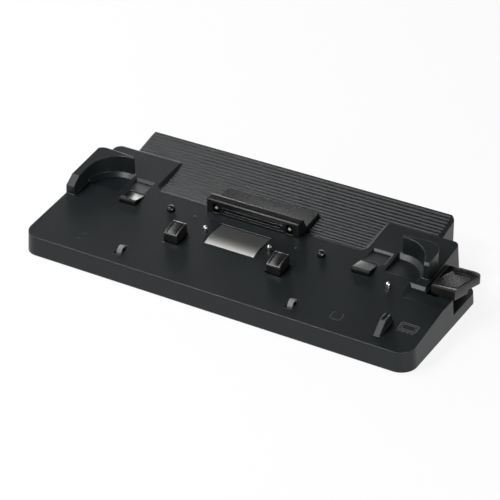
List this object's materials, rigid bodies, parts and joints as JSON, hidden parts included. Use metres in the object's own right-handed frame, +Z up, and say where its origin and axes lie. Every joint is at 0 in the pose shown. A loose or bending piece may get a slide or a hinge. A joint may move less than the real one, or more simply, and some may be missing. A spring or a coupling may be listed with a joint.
{
  "type": "laptop docking station",
  "caption": "Low black docking base for a laptop: sloping deck with corner guides, dock connector, drop latches worked by a side lever, sprung pins and a ribbed rear hump with ports.",
  "frame": {"origin": "centre of the bounding box in plan, at the underside of the rubber feet, on the desk", "axes": "+X to the right of a user who faces the dock, towards the lever; +Y to the rear, towards the ports; +Z up"},
  "size_m": [0.4033, 0.185, 0.0504],
  "materials": {
    "charcoal_plastic": "fine textured",
    "black_plastic": "satin",
    "latch_plastic": "semi gloss",
    "stud_plastic": "gloss",
    "leaf_plastic": "satin",
    "plate_steel": "satin, brushed across",
    "bright_steel": "polished",
    "zinc_steel": "zinc plated",
    "spring_steel": "drawn wire",
    "gold_plate": "gold plated",
    "port_metal": "nickel plated",
    "insert_blue": "moulded",
    "board_green": "solder mask",
    "ribbon_amber": "polyimide film",
    "foot_rubber": "moulded"
  },
  "bodies": {
    "base": {"top_cover": "charcoal_plastic", "bottom_cover": "black_plastic", "port_panel": "black_plastic", "main_board": "board_green", "board_screws": "zinc_steel", "dc_jack": "black_plastic", "dc_pin": "bright_steel", "lan_jacks": "port_metal", "usb_shells": "port_metal", "usb_inserts": "insert_blue", "hdmi_port": "port_metal", "vga_port": "port_metal", "serial_port": "port_metal", "security_plate": "zinc_steel", "connector_cover": "black_plastic", "dock_connector": "black_plastic", "dock_contacts": "gold_plate", "guide_pins": "gold_plate", "connector_board": "board_green", "board_ribbon": "ribbon_amber", "guide_plate": "plate_steel", "locating_studs": "stud_plastic", "pin_holders": "black_plastic", "pin_spring_left": "spring_steel", "pin_spring_right": "spring_steel", "pin_spring_side": "spring_steel", "latch_spring_left": "spring_steel", "latch_spring_right": "spring_steel", "bar_guides": "black_plastic", "tongue_pins": "bright_steel", "tongue_springs": "spring_steel", "leaf_pins": "bright_steel", "rubber_feet": "foot_rubber", "cover_screws": "zinc_steel"},
    "lever": {"lever": "latch_plastic", "lever_bar": "zinc_steel", "lever_screws": "zinc_steel"},
    "latches": {"latch_left": "latch_plastic", "latch_right": "latch_plastic", "latch_beam": "zinc_steel", "cross_pins": "bright_steel"},
    "pin_left": {"sprung_pin_left": "bright_steel"},
    "pin_right": {"sprung_pin_right": "bright_steel"},
    "pin_side": {"sprung_pin_side": "bright_steel"},
    "tongue_left": {"tongue_left": "latch_plastic"},
    "tongue_right": {"tongue_right": "latch_plastic"},
    "leaf_left": {"leaf_left": "leaf_plastic"},
    "leaf_right": {"leaf_right": "leaf_plastic"}
  },
  "joints": [
    {"name": "lever_slide", "type": "slide", "parent": "base", "child": "lever", "axis": [0, -1, 0], "range_m": [0, 0.011]},
    {"name": "latch_drop", "type": "slide", "parent": "base", "child": "latches", "axis": [0, 0, -1], "range_m": [0, 0.009], "stiffness_N_per_m": 400, "springref_m": -0.004, "deforming": ["latch_spring_left", "latch_spring_right"]},
    {"name": "pin_left_press", "type": "slide", "parent": "base", "child": "pin_left", "axis": [0, 0, -1], "range_m": [0, 0.004], "stiffness_N_per_m": 150, "springref_m": -0.003, "deforming": ["pin_spring_left"]},
    {"name": "pin_right_press", "type": "slide", "parent": "base", "child": "pin_right", "axis": [0, 0, -1], "range_m": [0, 0.004], "stiffness_N_per_m": 150, "springref_m": -0.003, "deforming": ["pin_spring_right"]},
    {"name": "pin_side_press", "type": "slide", "parent": "base", "child": "pin_side", "axis": [0, 0, -1], "range_m": [0, 0.004], "stiffness_N_per_m": 150, "springref_m": -0.003, "deforming": ["pin_spring_side"]},
    {"name": "tongue_left_press", "type": "hinge", "parent": "base", "child": "tongue_left", "pos_m": [-0.13815, 0.0028, 0.02784], "axis": [1, 0, 0], "range_deg": [0, 14], "stiffness_Nm_per_rad": 0.05, "springref_deg": -17.19},
    {"name": "tongue_right_press", "type": "hinge", "parent": "base", "child": "tongue_right", "pos_m": [0.10385, 0.0028, 0.02784], "axis": [1, 0, 0], "range_deg": [0, 14], "stiffness_Nm_per_rad": 0.05, "springref_deg": -17.19},
    {"name": "leaf_left_press", "type": "hinge", "parent": "base", "child": "leaf_left", "pos_m": [-0.10465, -0.0783, 0.01699], "axis": [-1, 0, 0], "range_deg": [0, 10], "stiffness_Nm_per_rad": 0.03, "springref_deg": -17.19},
    {"name": "leaf_right_press", "type": "hinge", "parent": "base", "child": "leaf_right", "pos_m": [0.07035, -0.0783, 0.01699], "axis": [-1, 0, 0], "range_deg": [0, 10], "stiffness_Nm_per_rad": 0.03, "springref_deg": -17.19}
  ],
  "couplings": [
    {"joint": "latch_drop", "follows": "lever_slide", "ratio": 0.81818}
  ]
}
